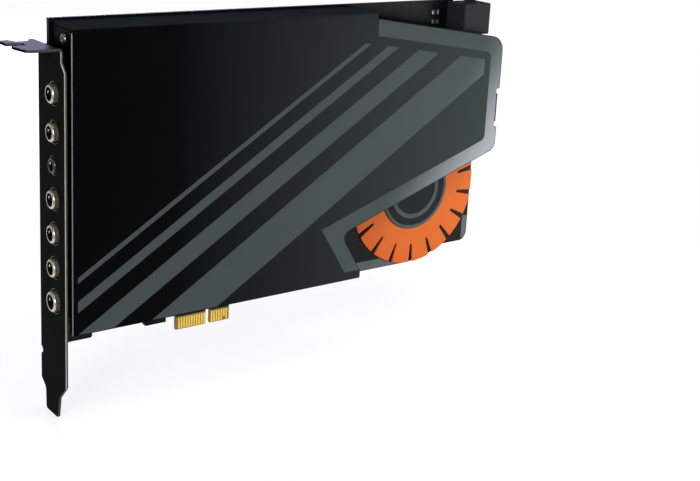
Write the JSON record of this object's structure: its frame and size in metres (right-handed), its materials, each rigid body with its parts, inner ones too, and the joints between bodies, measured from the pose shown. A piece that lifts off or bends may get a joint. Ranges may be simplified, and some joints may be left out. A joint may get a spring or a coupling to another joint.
{
  "type": "sound card",
  "caption": "Expansion sound card with an edge connector, a folded sheet cover, a slotted ring trim and a steel bracket that carries a row of audio sockets.",
  "frame": {"origin": "middle of the key notch, on the lower edge of the tongue, in the board's mid-plane", "axes": "+X along the card away from the bracket, +Y to the solder side, +Z to the top edge"},
  "size_m": [0.1916, 0.0216, 0.1283],
  "materials": {
    "board_laminate": "black solder mask on glass-fibre laminate",
    "contact_gold": "hard gold plating",
    "bracket_paint": "black fine-texture coat on folded steel",
    "cover_paint": "satin black coat with a grey stripe print on folded sheet",
    "screw_steel": "plated steel",
    "small_screw_steel": "plated steel",
    "standoff_brass": "turned brass",
    "sleeve_gold": "pale gold plating",
    "sleeve_black": "black plastic",
    "jack_plastic": "moulded black plastic",
    "tinned_metal": "tinned",
    "ring_orange": "satin orange",
    "hub_black": "satin black",
    "hub_grey": "satin grey",
    "header_plastic": "moulded dark plastic",
    "pin_metal": "plated pin",
    "chip_epoxy": "moulded epoxy",
    "socket_plastic": "moulded plastic",
    "can_aluminium": "drawn can",
    "base_plastic": "moulded plastic",
    "film_case": "moulded red case",
    "relay_case": "moulded pale case",
    "crystal_can": "drawn nickel can",
    "ferrite": "pressed ferrite",
    "chip_ceramic": "fired ceramic",
    "chip_resistor": "glazed ceramic"
  },
  "bodies": {
    "root": {"audio_processor": "chip_epoxy", "board": "board_laminate", "bracket": "bracket_paint", "bracket_screws": "screw_steel", "bus_bridge": "chip_epoxy", "capacitor_bases": "base_plastic", "chip_capacitors": "chip_ceramic", "chip_leads": "tinned_metal", "chip_resistors": "chip_resistor", "converter_chip": "chip_epoxy", "cover": "cover_paint", "cover_screws": "screw_steel", "cover_standoffs": "standoff_brass", "edge_contacts": "contact_gold", "electrolytic_capacitors": "can_aluminium", "film_capacitors": "film_case", "headphone_amplifier": "chip_epoxy", "hub_disc": "hub_black", "hub_rings": "hub_grey", "inductors": "ferrite", "jack_housings": "jack_plastic", "jack_sleeves": "sleeve_gold", "jack_terminals": "tinned_metal", "op_amp_sockets": "socket_plastic", "op_amps": "chip_epoxy", "oscillators": "crystal_can", "panel_header": "header_plastic", "panel_header_pins": "pin_metal", "power_header": "header_plastic", "power_pins": "pin_metal", "regulator_tabs": "tinned_metal", "regulators": "chip_epoxy", "relays": "relay_case", "side_block": "standoff_brass", "side_screw": "small_screw_steel", "small_jack_sleeve": "sleeve_black", "trim_ring": "ring_orange"}
  },
  "joints": []
}
